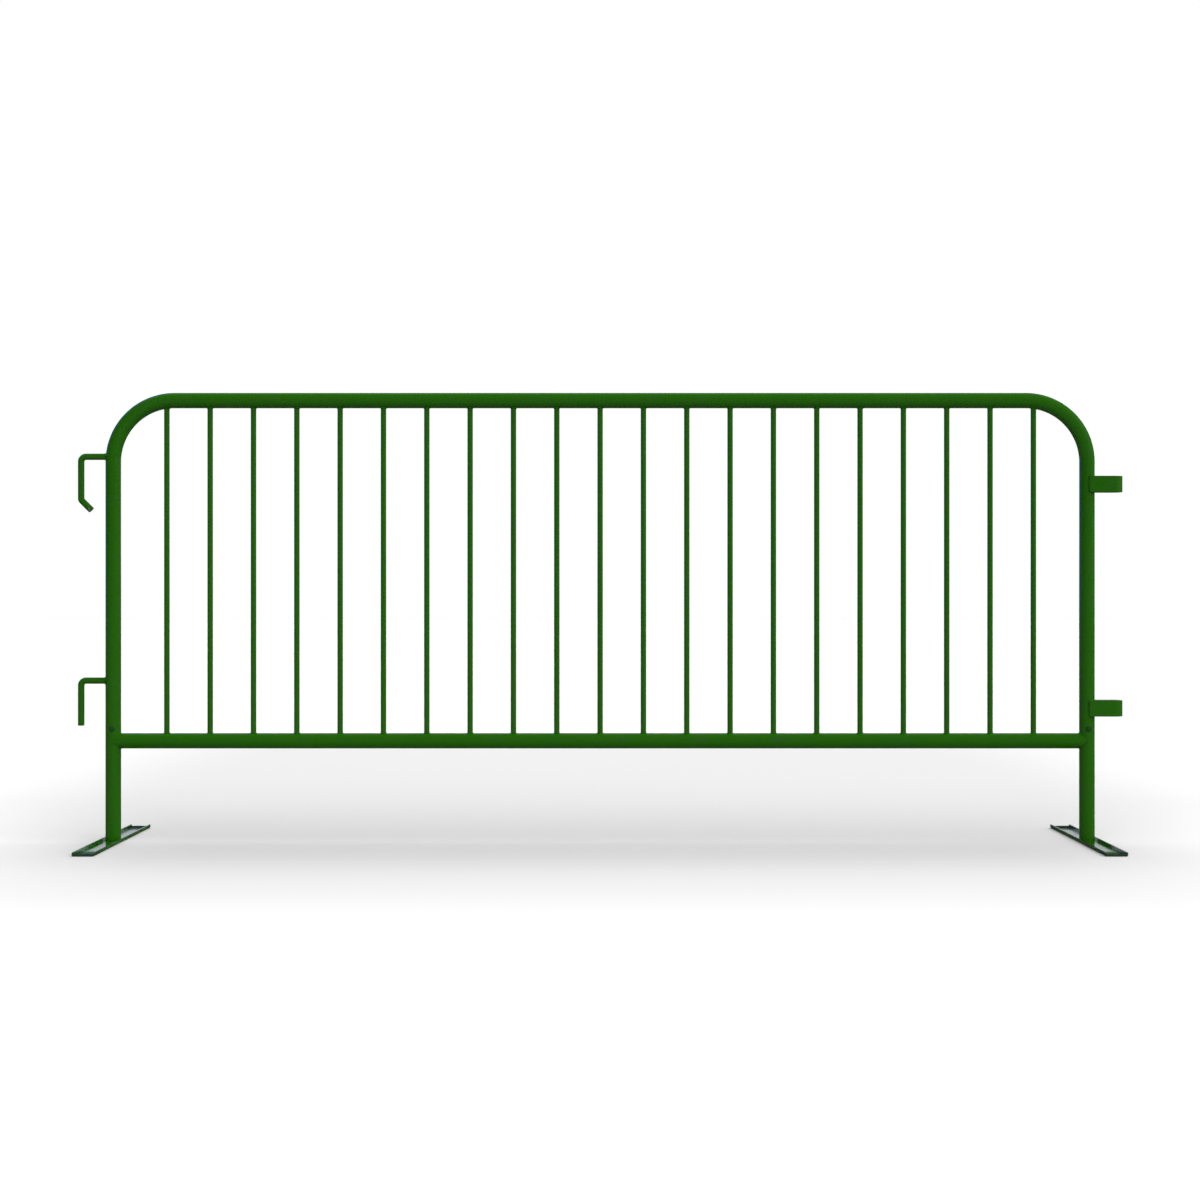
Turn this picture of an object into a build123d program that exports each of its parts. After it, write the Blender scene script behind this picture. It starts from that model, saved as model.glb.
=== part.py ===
"""Crowd control barrier: one bent steel frame tube with 21 tube pickets, hooks and loops at
its ends for chaining, and two flat channel feet that swivel on spigots inside the legs.

Millimetres. +Z is up, Z = 0 is the ground, X runs along the barrier and the middle of the
panel is at X = 0. The side with the rivet heads is the front and faces -Y.
"""
import os
from math import cos, radians, sin, sqrt

from build123d import *

os.makedirs("parts", exist_ok=True)

# ---- frame tube -------------------------------------------------------------------------
frame_width = 2427.0        # between the axes of the two uprights
top_rail_height = 1099.0    # ground to the axis of the top rail
bottom_rail_height = 251.0  # ground to the axis of the bottom rail
tube_diameter = 38.1        # 1 1/2 in tube: uprights, top rail and bottom rail
tube_wall = 1.6
corner_radius = 152.4       # bend radius at the tube axis, a 6 in bending die

# ---- pickets ----------------------------------------------------------------------------
picket_count = 21
picket_pitch = 108.0
picket_diameter = 13.7      # 1/4 in pipe size
picket_wall = 1.2
picket_insertion = 8.0      # how far a picket enters a rail, from the rail's crown
picket_hole_clearance = 0.1  # per side, between a picket and its punched hole

# ---- hooks and loops that join one barrier to the next ----------------------------------
link_reach = 88.0           # upright axis to the outermost point of every hook and loop
hook_rod_diameter = 15.9    # 5/8 in rod
hook_corner_radius = 12.0   # at the rod axis
upper_hook_below_rail = 140.0  # top rail's axis down to the axis of the level leg
upper_hook_drop = 107.5     # level leg's axis down to the kink
upper_hook_tip = 36.5       # length of the angled tip below the kink
upper_hook_angle = 45.0     # tip's angle from the upright leg
kink_radius = 9.0
lower_hook_above_rail = 150.0  # bottom rail's axis up to the axis of the level leg
lower_hook_drop = 112.0     # level leg's axis down to the rod's end
rod_end_chamfer = 1.0

loop_bar_height = 40.0
loop_bar_thickness = 5.0
loop_bar_edge_radius = 0.8
loop_arm_start = 2.0        # upright axis to the end faces of the loop's two arms
loop_below_hook = 68.5      # a hook's level leg down to the middle of the loop it drops into

# ---- feet -------------------------------------------------------------------------------
foot_length = 620.0
foot_plate = 3.0            # thickness of the channel's sheet
foot_side_room = 3.95       # per side, between a leg and the flange beside it
foot_channel_height = 10.0
foot_lip_height = 6.0       # top of the low lip across each end, above the ground
foot_bend_radius = 1.5      # inside the two folds
foot_corner_radius = 3.0    # rounded top corners at the flange ends
leg_end_gap = 0.4           # between a leg's end and the floor of its foot

spigot_clearance = 0.35     # per side, inside the leg
spigot_wall = 2.5
spigot_overlap = 22.0       # spigot's length above the rivet
spigot_chamfer = 1.0
spigot_foot_recess = 0.5    # spigot's lower end above the ground
spigot_hole_clearance = 0.1  # per side, in the channel's floor

rivet_above_rail = 30.0     # bottom rail's axis up to the rivet's axis
rivet_shank_diameter = 8.0
rivet_hole_clearance = 0.1  # per side, in the leg's wall
rivet_head_diameter = 12.5
rivet_head_height = 3.2
rivet_reach = 7.0           # shank's length inward from the leg's outer face
rivet_slot_clearance = 0.4  # per side, in the spigot's slot

# ---- weld beads -------------------------------------------------------------------------
picket_bead = 2.6           # bead radius
rail_bead = 3.2
hook_bead = 3.2
loop_bead = 3.4
loop_bead_inset = 1.5       # bead's end to the bar's edge
foot_weld_leg = 1.6

# ---- values that follow from the sizes above --------------------------------------------
tube_radius = tube_diameter / 2
tube_bore_radius = tube_radius - tube_wall
upright_x = frame_width / 2
picket_radius = picket_diameter / 2
picket_x = [picket_pitch * (i - (picket_count - 1) / 2) for i in range(picket_count)]
leg_end = foot_plate + leg_end_gap
foot_width = tube_diameter + 2 * (foot_side_room + foot_plate)
upper_hook_height = top_rail_height - upper_hook_below_rail
lower_hook_height = bottom_rail_height + lower_hook_above_rail
upper_loop_height = upper_hook_height - loop_below_hook
lower_loop_height = lower_hook_height - loop_below_hook
rivet_height = bottom_rail_height + rivet_above_rail
rod_radius = hook_rod_diameter / 2
hook_x = upright_x + link_reach - rod_radius
spigot_radius = tube_bore_radius - spigot_clearance
spigot_bore_radius = spigot_radius - spigot_wall
spigot_top = rivet_height + spigot_overlap
feet = {"left": -upright_x, "right": upright_x}


def top_rail_underside(x):
    """Height of the top rail's lowest line above the ground, at a distance x along it."""
    into_bend = max(0.0, abs(x) - (upright_x - corner_radius))
    inner_radius = corner_radius - tube_radius
    return top_rail_height - corner_radius + sqrt(inner_radius**2 - into_bend**2)


def upright_outside(z):
    """Distance from the middle of the panel to the outermost line of an upright, at height z."""
    into_bend = max(0.0, z - (top_rail_height - corner_radius))
    outer_radius = corner_radius + tube_radius
    return upright_x - corner_radius + sqrt(outer_radius**2 - into_bend**2)


# The saddle where a thin round bar meets the tube is this deep; beads sit half way down it.
picket_saddle = tube_radius - sqrt(tube_radius**2 - picket_radius**2)
rod_saddle = tube_radius - sqrt(tube_radius**2 - rod_radius**2)

# ---- frame ------------------------------------------------------------------------------
def frame_bar(radius):
    """A round bar along the frame's whole path: leg, bend, top rail, bend, leg."""
    bend_start = top_rail_height - corner_radius
    rail_length = frame_width - 2 * corner_radius
    with BuildPart() as bar:
        for x, turn in ((-upright_x, 1), (upright_x, -1)):
            with BuildSketch(Plane.XY.offset(leg_end)):
                with Locations((x, 0)):
                    Circle(radius)
            extrude(amount=bend_start - leg_end)
            with BuildSketch(Plane.XY.offset(bend_start)):
                with Locations((x, 0)):
                    Circle(radius)
            bend_axis = Axis((x + turn * corner_radius, 0, bend_start), (0, turn, 0))
            revolve(axis=bend_axis, revolution_arc=90)
        with BuildSketch(Plane.YZ.offset(-rail_length / 2)):
            with Locations((0, top_rail_height)):
                Circle(radius)
        extrude(amount=rail_length)
    return bar.part


# Outside of the frame tube, for shaping whatever is welded to it.
frame_envelope = frame_bar(tube_radius)

# Outside of the bottom rail, likewise.
with BuildPart() as rail_envelope:
    with BuildSketch(Plane.YZ.offset(-upright_x)):
        with Locations((0, bottom_rail_height)):
            Circle(tube_radius)
    extrude(amount=frame_width)

# The tube runs from one foot to the other in one piece, and is punched before it is welded.
with BuildPart() as top_frame_tube:
    add(frame_envelope)
    add(frame_bar(tube_bore_radius), mode=Mode.SUBTRACT)
    with BuildSketch(Plane.XY.offset(top_rail_height)):
        with Locations(*[(x, 0) for x in picket_x]):
            Circle(picket_radius + picket_hole_clearance)
    extrude(amount=-2 * tube_radius, mode=Mode.SUBTRACT)
    with BuildSketch(Plane.XZ):
        with Locations((-upright_x, rivet_height), (upright_x, rivet_height)):
            Circle(rivet_shank_diameter / 2 + rivet_hole_clearance)
    extrude(amount=2 * tube_radius, mode=Mode.SUBTRACT)
top_frame_tube.part.label = "top_frame_tube"
export_step(top_frame_tube.part, "parts/top_frame_tube.step")

with BuildPart() as bottom_rail:
    with BuildSketch(Plane.YZ.offset(-upright_x)):
        with Locations((0, bottom_rail_height)):
            Circle(tube_radius)
            Circle(tube_bore_radius, mode=Mode.SUBTRACT)
    extrude(amount=frame_width)
    with BuildSketch(Plane.XY.offset(bottom_rail_height)):
        with Locations(*[(x, 0) for x in picket_x]):
            Circle(picket_radius + picket_hole_clearance)
    extrude(amount=2 * tube_radius, mode=Mode.SUBTRACT)
    add(frame_envelope, mode=Mode.SUBTRACT)
bottom_rail.part.label = "bottom_rail"
export_step(bottom_rail.part, "parts/bottom_rail.step")

# ---- pickets ----------------------------------------------------------------------------
picket_bottom = bottom_rail_height + tube_radius - picket_insertion
picket_top = top_rail_height - tube_radius + picket_insertion
for number, x in enumerate(picket_x, start=1):
    with BuildPart() as picket:
        with BuildSketch(Plane.XY.offset(picket_bottom)):
            with Locations((x, 0)):
                Circle(picket_radius)
                Circle(picket_radius - picket_wall, mode=Mode.SUBTRACT)
        extrude(amount=picket_top - picket_bottom)
    picket.part.label = f"picket_{number:02d}"
    export_step(picket.part, f"parts/picket_{number:02d}.step")

with BuildPart() as picket_top_welds:
    for x in picket_x:
        with Locations((x, 0, top_rail_underside(x) + picket_saddle / 2)):
            Torus(picket_radius, picket_bead)
            Cylinder(picket_radius, 4 * picket_bead, mode=Mode.SUBTRACT)
    add(frame_envelope, mode=Mode.SUBTRACT)
picket_top_welds.part.label = "picket_top_welds"
export_step(picket_top_welds.part, "parts/picket_top_welds.step")

with BuildPart() as picket_bottom_welds:
    bead_height = bottom_rail_height + tube_radius - picket_saddle / 2
    for x in picket_x:
        with Locations((x, 0, bead_height)):
            Torus(picket_radius, picket_bead)
            Cylinder(picket_radius, 4 * picket_bead, mode=Mode.SUBTRACT)
    add(rail_envelope.part, mode=Mode.SUBTRACT)
picket_bottom_welds.part.label = "picket_bottom_welds"
export_step(picket_bottom_welds.part, "parts/picket_bottom_welds.step")

# ---- bead round each end of the bottom rail ---------------------------------------------
# Two equal tubes that cross meet along two half ellipses, one leaning up and one down.
with BuildPart() as rail_end_welds:
    for x, inward in ((-upright_x, 1), (upright_x, -1)):
        for lean in (1, -1):
            slope = Plane((x, 0, bottom_rail_height), (inward, 0, lean), (lean, 0, -inward))
            with BuildLine(slope) as seam:
                EllipticalCenterArc((0, 0), tube_radius * sqrt(2), tube_radius, -90, arc_size=180)
            with BuildSketch(Plane(seam.line @ 0, z_dir=seam.line % 0)):
                Circle(rail_bead)
            sweep(path=seam.wire())
        with Locations((x, tube_radius, bottom_rail_height), (x, -tube_radius, bottom_rail_height)):
            Sphere(rail_bead)
    add(frame_envelope, mode=Mode.SUBTRACT)
    add(rail_envelope.part, mode=Mode.SUBTRACT)
rail_end_welds.part.label = "rail_end_welds"
export_step(rail_end_welds.part, "parts/rail_end_welds.step")

# ---- hooks on the left upright ----------------------------------------------------------
kink_height = upper_hook_height - upper_hook_drop
tip_x = -hook_x + upper_hook_tip * sin(radians(upper_hook_angle))
tip_height = kink_height - upper_hook_tip * cos(radians(upper_hook_angle))

with BuildPart() as upper_hook:
    with BuildLine(Plane.XZ) as rod_axis:
        FilletPolyline(
            (-upright_x, upper_hook_height),
            (-hook_x, upper_hook_height),
            (-hook_x, kink_height),
            (tip_x, tip_height),
            radius=[hook_corner_radius, kink_radius],
        )
    with BuildSketch(Plane.YZ.offset(-upright_x)):
        with Locations((0, upper_hook_height)):
            Circle(rod_radius)
    sweep(path=rod_axis.wire())
    chamfer(upper_hook.faces().sort_by(Axis.Z)[0].edges(), rod_end_chamfer)
    add(frame_envelope, mode=Mode.SUBTRACT)
upper_hook.part.label = "upper_hook"
export_step(upper_hook.part, "parts/upper_hook.step")

with BuildPart() as lower_hook:
    with BuildLine(Plane.XZ) as rod_axis:
        FilletPolyline(
            (-upright_x, lower_hook_height),
            (-hook_x, lower_hook_height),
            (-hook_x, lower_hook_height - lower_hook_drop),
            radius=hook_corner_radius,
        )
    with BuildSketch(Plane.YZ.offset(-upright_x)):
        with Locations((0, lower_hook_height)):
            Circle(rod_radius)
    sweep(path=rod_axis.wire())
    chamfer(lower_hook.faces().sort_by(Axis.Z)[0].edges(), rod_end_chamfer)
    add(frame_envelope, mode=Mode.SUBTRACT)
lower_hook.part.label = "lower_hook"
export_step(lower_hook.part, "parts/lower_hook.step")

with BuildPart() as hook_welds:
    for height in (upper_hook_height, lower_hook_height):
        with Locations(Location((rod_saddle / 2 - upright_outside(height), 0, height), (0, 90, 0))):
            Torus(rod_radius, hook_bead)
            Cylinder(rod_radius, 4 * hook_bead, mode=Mode.SUBTRACT)
    add(frame_envelope, mode=Mode.SUBTRACT)
hook_welds.part.label = "hook_welds"
export_step(hook_welds.part, "parts/hook_welds.step")

# ---- loops on the right upright ---------------------------------------------------------
# A flat bar bent round a tube of the frame's own size, its two arms tangent to the upright.
loop_outer_radius = tube_radius + loop_bar_thickness
loop_centre = upright_x + link_reach - loop_outer_radius
arm_length = loop_centre - upright_x - loop_arm_start
for name, height in (("upper_loop", upper_loop_height), ("lower_loop", lower_loop_height)):
    with BuildPart() as loop:
        with BuildSketch(Plane.XY.offset(height - loop_bar_height / 2)):
            with Locations((loop_centre, 0)):
                Circle(loop_outer_radius)
                Rectangle(arm_length, 2 * loop_outer_radius, align=(Align.MAX, Align.CENTER))
                Circle(tube_radius, mode=Mode.SUBTRACT)
                Rectangle(
                    loop_outer_radius + arm_length,
                    2 * tube_radius,
                    align=(Align.MAX, Align.CENTER),
                    mode=Mode.SUBTRACT,
                )
        extrude(amount=loop_bar_height)
        fillet(loop.faces().filter_by(Axis.Z).edges(), loop_bar_edge_radius)
        add(frame_envelope, mode=Mode.SUBTRACT)
    loop.part.label = name
    export_step(loop.part, f"parts/{name}.step")

with BuildPart() as loop_welds:
    for height in (upper_loop_height, lower_loop_height):
        for side in (1, -1):
            with Locations((upright_x + loop_arm_start, side * tube_radius, height)):
                Cylinder(loop_bead, loop_bar_height - 2 * loop_bead_inset)
        with Locations((upright_x + loop_arm_start, 0, height)):
            Box(
                2 * loop_bead,
                2 * loop_outer_radius,
                loop_bar_height,
                align=(Align.MIN, Align.CENTER, Align.CENTER),
                mode=Mode.SUBTRACT,
            )
    add(frame_envelope, mode=Mode.SUBTRACT)
loop_welds.part.label = "loop_welds"
export_step(loop_welds.part, "parts/loop_welds.step")

# ---- rivets that keep the spigots in the legs -------------------------------------------
head_radius = rivet_head_diameter / 2
head_saddle = tube_radius - sqrt(tube_radius**2 - head_radius**2)
shank_radius = rivet_shank_diameter / 2
dome_radius = (head_radius**2 + rivet_head_height**2) / (2 * rivet_head_height)

with BuildPart() as foot_rivets:
    for x in feet.values():
        with BuildSketch(Plane.XY.offset(rivet_height)):
            with BuildLine():
                rim_x = x + head_radius
                brim = Line((rim_x, head_saddle - tube_radius), (rim_x, -tube_radius))
                crown = (x, -tube_radius - rivet_head_height)
                RadiusArc(brim @ 1, crown, dome_radius)
                Polyline(crown, (x, head_saddle - tube_radius), brim @ 0)
            make_face()
        revolve(axis=Axis((x, 0, rivet_height), (0, 1, 0)))
    add(frame_envelope, mode=Mode.SUBTRACT)
    with BuildSketch(Plane.XZ.offset(tube_radius)):
        with Locations(*[(x, rivet_height) for x in feet.values()]):
            Circle(shank_radius)
    extrude(amount=-rivet_reach)
foot_rivets.part.label = "foot_rivets"
export_step(foot_rivets.part, "parts/foot_rivets.step")

# ---- feet -------------------------------------------------------------------------------
spigot_hole_radius = spigot_radius + spigot_hole_clearance
slot_half = shank_radius + rivet_slot_clearance

for side, x in feet.items():
    # Sheet folded up at both long edges, with a low lip across each end.
    with BuildPart() as foot_channel:
        with BuildSketch(Plane.XZ.offset(foot_length / 2)) as section:
            with Locations((x, 0)):
                Rectangle(foot_width, foot_channel_height, align=(Align.CENTER, Align.MIN))
            fillet(section.vertices().group_by(Axis.Y)[0], foot_bend_radius + foot_plate)
            with Locations((x, foot_plate)):
                Rectangle(
                    foot_width - 2 * foot_plate,
                    foot_channel_height,
                    align=(Align.CENTER, Align.MIN),
                    mode=Mode.SUBTRACT,
                )
            fillet(
                section.vertices().filter_by_position(Axis.Y, foot_plate - 0.01, foot_plate + 0.01),
                foot_bend_radius,
            )
        extrude(amount=-foot_length)
        fillet(foot_channel.edges().filter_by(Axis.X).group_by(Axis.Z)[-1], foot_corner_radius)
        lip_y = (foot_length - foot_plate) / 2
        with BuildSketch(Plane.XY.offset(foot_plate / 2)):
            with Locations((x, -lip_y), (x, lip_y)):
                Rectangle(foot_width - 2 * foot_plate, foot_plate)
        extrude(amount=foot_lip_height - foot_plate / 2)
        with Locations((x, 0, 0)):
            Cylinder(spigot_hole_radius, 3 * foot_plate, mode=Mode.SUBTRACT)
            Cone(
                spigot_hole_radius + foot_weld_leg,
                spigot_hole_radius,
                foot_weld_leg,
                align=(Align.CENTER, Align.CENTER, Align.MIN),
                mode=Mode.SUBTRACT,
            )
    foot_channel.part.label = f"{side}_foot_channel"
    export_step(foot_channel.part, f"parts/{side}_foot_channel.step")

    # The slot lets the rivet travel a quarter turn round the spigot and holds it in the leg.
    with BuildPart() as foot_spigot:
        with BuildSketch(Plane.XY.offset(spigot_foot_recess)):
            with Locations((x, 0)):
                Circle(spigot_radius)
                Circle(spigot_bore_radius, mode=Mode.SUBTRACT)
        extrude(amount=spigot_top - spigot_foot_recess)
        chamfer(foot_spigot.faces().sort_by(Axis.Z)[-1].outer_wire().edges(), spigot_chamfer)
        with BuildSketch(Plane.XY.offset(rivet_height - slot_half)):
            with Locations((x, 0)):
                Rectangle(tube_diameter, tube_diameter, align=(Align.MAX, Align.MAX))
                Rectangle(2 * slot_half, tube_diameter, align=(Align.CENTER, Align.MAX))
                Rectangle(tube_diameter, 2 * slot_half, align=(Align.MAX, Align.CENTER))
        extrude(amount=2 * slot_half, mode=Mode.SUBTRACT)
    foot_spigot.part.label = f"{side}_foot_spigot"
    export_step(foot_spigot.part, f"parts/{side}_foot_spigot.step")

    # Laid from below into a countersink and ground flush, so that the foot sits flat.
    with BuildPart() as foot_weld:
        with Locations((x, 0, 0)):
            Cone(
                spigot_hole_radius + foot_weld_leg,
                spigot_hole_radius,
                foot_weld_leg,
                align=(Align.CENTER, Align.CENTER, Align.MIN),
            )
            Cylinder(spigot_radius, 3 * foot_weld_leg, mode=Mode.SUBTRACT)
    foot_weld.part.label = f"{side}_foot_weld"
    export_step(foot_weld.part, f"parts/{side}_foot_weld.step")
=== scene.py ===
# %% [markdown]
# # A crowd control barrier, finished in Blender
#
# The real object is a panel of welded steel tube, powder coated green, that stands on two
# flat channel feet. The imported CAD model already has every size, every joint and the
# collision shapes. What it lacks is what the eye wants: smooth round tube, weld beads with
# their ripples, the faint orange peel of powder coat, and light that shows them.
#
# So this script keeps the CAD model as a frame to measure from. Most visible parts are made
# again as surfaces worked out with numpy, in metres, exactly where the CAD nodes are.

# %% Load the frame and keep its box
import math

import bpy
import numpy as np
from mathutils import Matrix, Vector


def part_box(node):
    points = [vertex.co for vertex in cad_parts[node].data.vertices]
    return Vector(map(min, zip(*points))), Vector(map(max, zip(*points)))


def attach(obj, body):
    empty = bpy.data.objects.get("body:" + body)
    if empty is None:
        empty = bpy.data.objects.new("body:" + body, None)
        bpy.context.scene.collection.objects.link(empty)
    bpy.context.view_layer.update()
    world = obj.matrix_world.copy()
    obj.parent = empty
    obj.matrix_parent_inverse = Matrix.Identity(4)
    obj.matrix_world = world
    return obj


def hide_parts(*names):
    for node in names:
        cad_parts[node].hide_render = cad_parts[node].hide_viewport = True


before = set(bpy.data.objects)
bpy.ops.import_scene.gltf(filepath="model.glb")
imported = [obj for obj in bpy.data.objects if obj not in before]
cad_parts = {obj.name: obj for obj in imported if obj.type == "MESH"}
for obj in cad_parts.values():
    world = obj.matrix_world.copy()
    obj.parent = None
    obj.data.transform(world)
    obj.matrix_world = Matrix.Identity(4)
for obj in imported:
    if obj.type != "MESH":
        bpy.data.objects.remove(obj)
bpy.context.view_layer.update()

# %% [markdown]
# ## Sizes
#
# A barrier is made of a few stock sections: one big tube, one small tube, one rod and one
# flat bar. Their sizes are read from the boxes of the CAD nodes, so the new pieces land where
# the old ones are. Only what a box can't say is written here: walls and bend radii.

# %% Sizes of the stock sections
MM = 0.001


def node_box(name):
    """Lowest and highest corner of a CAD node as one 2 x 3 array, in metres."""
    return np.array([list(corner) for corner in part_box(name)])


low, high = node_box("top_frame_tube")
TUBE_R = high[1]
TUBE_WALL = 1.6 * MM
BORE_R = TUBE_R - TUBE_WALL
UPRIGHT_X = high[0] - TUBE_R
TOP_Z = high[2] - TUBE_R
LEG_END = low[2]
FOOT_END = node_box("left_foot_channel")[1, 1]
CORNER_R = 152.4 * MM
RAIL_Z = node_box("bottom_rail")[:, 2].mean()

PICKETS = [f"picket_{number:02d}" for number in range(1, 22)]
picket_boxes = np.array([node_box(name) for name in PICKETS])
PICKET_X = picket_boxes[:, :, 0].mean(1)
PICKET_R = picket_boxes[0, 1, 1]
PICKET_WALL = 1.2 * MM
PICKET_ENDS = picket_boxes[0, :, 2]

ROD_R = node_box("upper_hook")[1, 1]
BAR = node_box("upper_loop")[1, 1] - TUBE_R
print(f"tube {2e3 * TUBE_R:.1f}, picket {2e3 * PICKET_R:.1f}, rod {2e3 * ROD_R:.1f}, bar {1e3 * BAR:.1f} mm")

# %% [markdown]
# ## A mesh from a grid of points
#
# Tube, rod, bar and bead all have the same build: a closed outline that travels along a
# path. That is a grid of points, with one row for each place on the path and one column for
# each point of the outline. Blender needs faces that join neighbours in the grid. Worked out
# as arrays of indices this is quick, and one function then serves every piece.
#
# A row always closes on itself. Along the path there are two cases. In a ring, or in a tube
# whose bore is the way back, the last row joins the first. Otherwise each end shuts in a fan
# of triangles round its middle point. Several grids of one shape, such as all the beads along
# a rail, go into one mesh.

# %% Grid to mesh
def make_piece(name, grids, ring=False, crease=40, wear=0.0, grime=0.0):
    """A mesh from grids[grid, row, column] = (x, y, z), where four neighbours make a face. A
    ring joins its last row to its first. Edges that turn by more than crease, in degrees, are
    sharp. The last two arguments are numbers from 0 to 1 for each point, kept for the paint to
    read: the first is real wear, the second a painted shade."""
    grids = np.asarray(grids, float)
    if grids.ndim == 3:
        grids = grids[None]
    count, rows, columns = grids.shape[:3]
    here = np.arange(count * rows * columns).reshape(count, rows, columns)
    beside, above = np.roll(here, -1, 2), np.roll(here, -1, 1)
    beside_above = np.roll(above, -1, 2)
    quads = np.stack([here, beside, beside_above, above], -1)
    quads = (quads if ring else quads[:, :-1]).reshape(-1, 4)
    points = grids.reshape(-1, 3)
    triangles = np.concatenate([quads[:, [0, 1, 2]], quads[:, [0, 2, 3]]])
    faces = quads.tolist()
    if not ring:
        first = len(points) + np.arange(count)[:, None] + np.zeros((1, columns), int)
        last = first + count
        starts = np.stack([beside[:, 0], here[:, 0], first], -1).reshape(-1, 3)
        ends = np.stack([here[:, -1], beside[:, -1], last], -1).reshape(-1, 3)
        points = np.concatenate([points, grids[:, 0].mean(1), grids[:, -1].mean(1)])
        triangles = np.concatenate([triangles, starts, ends])
        faces += starts.tolist() + ends.tolist()

    # The sum of a . (b x c) over the triangles is negative where they point inwards.
    a, b, c = (points[triangles[:, i]] - points[0] for i in range(3))
    if (a * np.cross(b, c)).sum() < 0:
        faces = [face[::-1] for face in faces]

    mesh = bpy.data.meshes.new(name)
    mesh.from_pydata(points, [], faces)
    mesh.shade_smooth()
    mesh.set_sharp_from_angle(angle=math.radians(crease))
    for kind, given in (("wear", wear), ("grime", grime)):
        amount = np.zeros(len(points), np.float32)
        amount[: grids.size // 3] = np.broadcast_to(given, grids.shape[:3]).ravel()
        mesh.attributes.new(kind, "FLOAT", "POINT").data.foreach_set("value", amount)
    piece = bpy.data.objects.new(name, mesh)
    bpy.context.scene.collection.objects.link(piece)
    return piece

# %% [markdown]
# ## Paths and outlines
#
# A bender turns tube round a die of one radius, so a bent tube is straight runs joined by
# tangent arcs. A path is given as its sharp corners and a radius for each. A spline through a
# few points would be quicker to type, but its bends would have no one radius, and the eye
# sees that at once on a rail as plain as this.

# %% Path with tangent arcs
GAP = 0.1


def straight(start, end, gap=GAP):
    """Points an even step apart on the line from start to end, with no step over the gap."""
    steps = int(np.linalg.norm(end - start) / gap) + 2
    return start + (end - start) * np.linspace(0, 1, steps)[:, None]


def bent_path(corners, radii, arc_points, gap=GAP):
    """Straight runs and tangent arcs. In a corner that turns by an angle t, an arc of radius r
    starts r tan(t / 2) before the corner. After an angle a it has gone r sin(a) onwards and
    r (1 - cos(a)) sideways, towards the next run."""
    corners = np.asarray(corners, float)
    begin, parts = corners[0], []
    for i, radius in enumerate(radii, start=1):
        back, onward = corners[i] - corners[i - 1], corners[i + 1] - corners[i]
        back, onward = back / np.linalg.norm(back), onward / np.linalg.norm(onward)
        turn = math.acos(back @ onward)
        sideways = (onward - back * math.cos(turn)) / math.sin(turn)
        start = corners[i] - back * radius * math.tan(turn / 2)
        angle = np.linspace(0, turn, arc_points)[:, None]
        arc = start + radius * (np.sin(angle) * back + (1 - np.cos(angle)) * sideways)
        if np.linalg.norm(start - begin) > 1e-6:
            parts.append(straight(begin, start, gap)[:-1])
        parts.append(arc[:-1])
        begin = arc[-1]
    return np.concatenate([*parts, straight(begin, corners[-1], gap)])


quarter_bend = bent_path([(-1, 0, 0), (0, 0, 0), (0, 1, 0)], [0.5], 28)
bend_length = np.linalg.norm(np.diff(quarter_bend, axis=0), axis=1).sum()
print(f"a square corner of two 1 m runs, bent at 0.5 m, is {bend_length:.3f} m long")

# %% [markdown]
# ### Outlines
#
# Tube and rod are round, and flat bar is a rectangle with soft corners. An outline keeps only
# the points that its shape needs. Round stretches get many, flats few. The count depends on
# the size, as a big tube shows its facets sooner than a thin one.

# %% Outlines
AROUND_TUBE, AROUND_ROD, AROUND_PICKET = 64, 48, 32


def full_turn(points):
    """Angles an even step apart, once round."""
    return np.linspace(0, 2 * np.pi, points, endpoint=False)


def circle(radius, points):
    """Radius times the cosine and sine of an evenly stepped angle."""
    angle = full_turn(points)
    return radius * np.stack([np.cos(angle), np.sin(angle)], -1)


def rounded_rectangle(width, height, radius, corner_points=6, flat_points=3):
    """Four quarter circles with points on the flats between them. The flats have points
    close to the arcs, so that smooth shading stays flat up to the edge."""
    quarter = np.linspace(0, np.pi / 2, corner_points)
    starts = np.array([0, 1, 2, 3]) * np.pi / 2
    signs = np.array([(1, 1), (-1, 1), (-1, -1), (1, -1)])
    centres = signs * (np.array([width, height]) / 2 - radius)
    angle = starts[:, None] + quarter
    arcs = centres[:, None] + radius * np.stack([np.cos(angle), np.sin(angle)], -1)
    share = np.concatenate([[0.04], np.linspace(0.1, 0.9, flat_points), [0.96]])[:, None]
    ahead = np.roll(arcs, -1, 0)[:, :1]
    flats = arcs[:, -1:] + (ahead - arcs[:, -1:]) * share
    return np.concatenate([arcs, flats], 1).reshape(-1, 2)


facet = TUBE_R * (1 - math.cos(math.pi / AROUND_TUBE))
print(f"the big tube's facets stay within {1e6 * facet:.0f} microns of round")

# %% [markdown]
# ### Carrying an outline
#
# Every path here is flat: it stays in one plane. So one direction is at right angles to the
# whole path, and the outline can be set out from it without ever twisting. A curve object
# with a bevel would do the same, but its points couldn't carry wear, and its ends are either
# open or cut flat. A sawn end has a broken edge, which the second function makes.

# %% Carry an outline along a flat path
def carry(outline, path, square):
    """Rows of path + u * square + v * side, where (u, v) is a point of the outline, square is
    at right angles to the path's own plane, and side is at right angles to square and to the
    path. The outline may differ by row."""
    along = np.gradient(path, axis=0)
    along /= np.linalg.norm(along, axis=1, keepdims=True)
    square = np.asarray(square, float)
    side = np.cross(along, square)
    outline = np.broadcast_to(outline, (len(path), *np.shape(outline)[-2:]))
    return path[:, None] + outline[..., :1] * square + outline[..., 1:] * side[:, None]


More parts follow.
